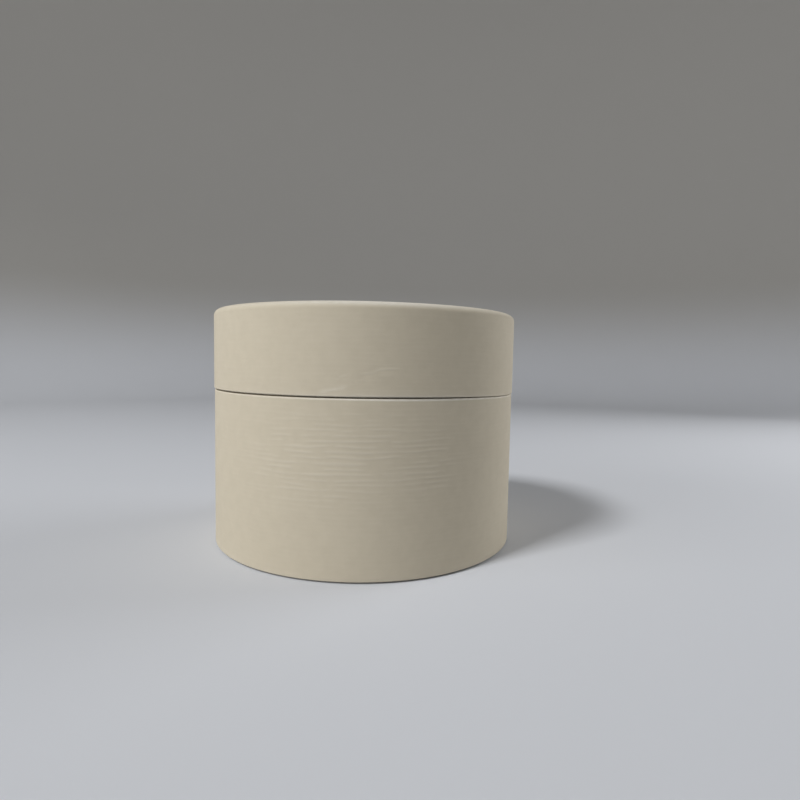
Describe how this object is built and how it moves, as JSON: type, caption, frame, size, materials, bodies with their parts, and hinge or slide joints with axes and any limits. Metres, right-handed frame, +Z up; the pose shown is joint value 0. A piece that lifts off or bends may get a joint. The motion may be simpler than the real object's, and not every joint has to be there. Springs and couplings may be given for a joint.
{
  "type": "cylindrical gift tube box",
  "caption": "Short paper-covered tube box with a rolled-rim lid that slides down over an inner neck.",
  "frame": {"origin": "on the box's axis, at the surface that it stands on", "axes": "+Z up along the axis from the base to the lid's rim, -Y towards the picture's camera, lap seams at the back on the +Y side"},
  "size_m": [0.0804, 0.0804, 0.06],
  "materials": {
    "ribbed_paper": "matte cream cover paper with fine level ribs",
    "smooth_paper": "smooth matte off-white lining paper",
    "wound_board": "spiral-wound brown board",
    "disc_board": "grey board"
  },
  "bodies": {
    "base": {"base_tube": "wound_board", "base_wrap": "ribbed_paper", "base_bottom_board": "disc_board", "base_bottom_paper": "ribbed_paper", "neck_tube": "wound_board", "neck_lining": "smooth_paper", "base_floor_paper": "smooth_paper"},
    "lid": {"lid_tube": "wound_board", "lid_wrap": "ribbed_paper", "lid_top_board": "disc_board", "lid_top_paper": "ribbed_paper", "lid_lining": "smooth_paper", "lid_ceiling_paper": "smooth_paper"}
  },
  "joints": [
    {"name": "lid_lift", "type": "slide", "parent": "base", "child": "lid", "axis": [0, 0, 1], "range_m": [0, 0.05]}
  ]
}
